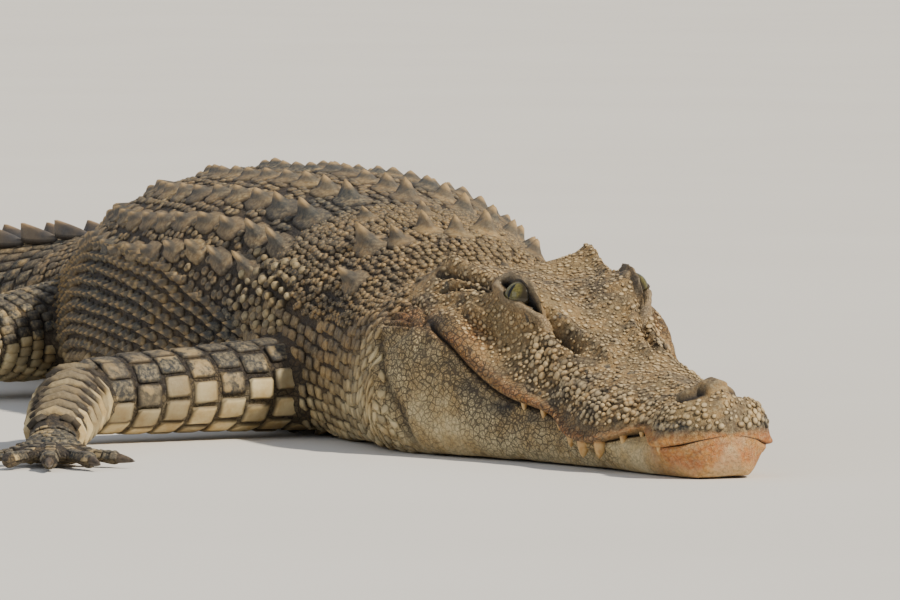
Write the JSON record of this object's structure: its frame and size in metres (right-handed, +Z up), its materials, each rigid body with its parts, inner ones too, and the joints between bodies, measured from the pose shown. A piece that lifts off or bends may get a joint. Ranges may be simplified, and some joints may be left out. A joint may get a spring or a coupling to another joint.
{
  "type": "saltwater crocodile",
  "caption": "Life-size saltwater crocodile at rest on its belly, jaw on the ground, tail swung to its right; a still museum figure.",
  "frame": {"origin": "on the floor, under the middle of the trunk", "axes": "+X forward along the trunk, +Y to the animal's left, +Z up"},
  "size_m": [3.3379, 1.626, 0.2677],
  "materials": {
    "hide_back": "matte scaled hide, olive brown with dark patches",
    "hide_pale": "matte scaled hide, creamy yellow, cracked",
    "hide_limb": "matte scaled hide, creamy yellow with dark blotches",
    "eye": "wet and glossy, with a slit pupil"
  },
  "bodies": {
    "root": {"head_skull": "hide_back", "head_lower_jaw": "hide_pale", "eye_right": "eye", "eye_left": "eye", "neck": "hide_back", "trunk": "hide_back", "tail_1": "hide_back", "tail_2": "hide_back", "tail_3": "hide_back", "tail_4": "hide_back", "foreleg_right_upper_arm": "hide_limb", "foreleg_right_forearm": "hide_limb", "foreleg_right_hand": "hide_limb", "hind_leg_right_thigh": "hide_limb", "hind_leg_right_shank": "hide_limb", "hind_leg_right_foot": "hide_limb", "foreleg_left_upper_arm": "hide_limb", "foreleg_left_forearm": "hide_limb", "foreleg_left_hand": "hide_limb", "hind_leg_left_thigh": "hide_limb", "hind_leg_left_shank": "hide_limb", "hind_leg_left_foot": "hide_limb"}
  },
  "joints": []
}
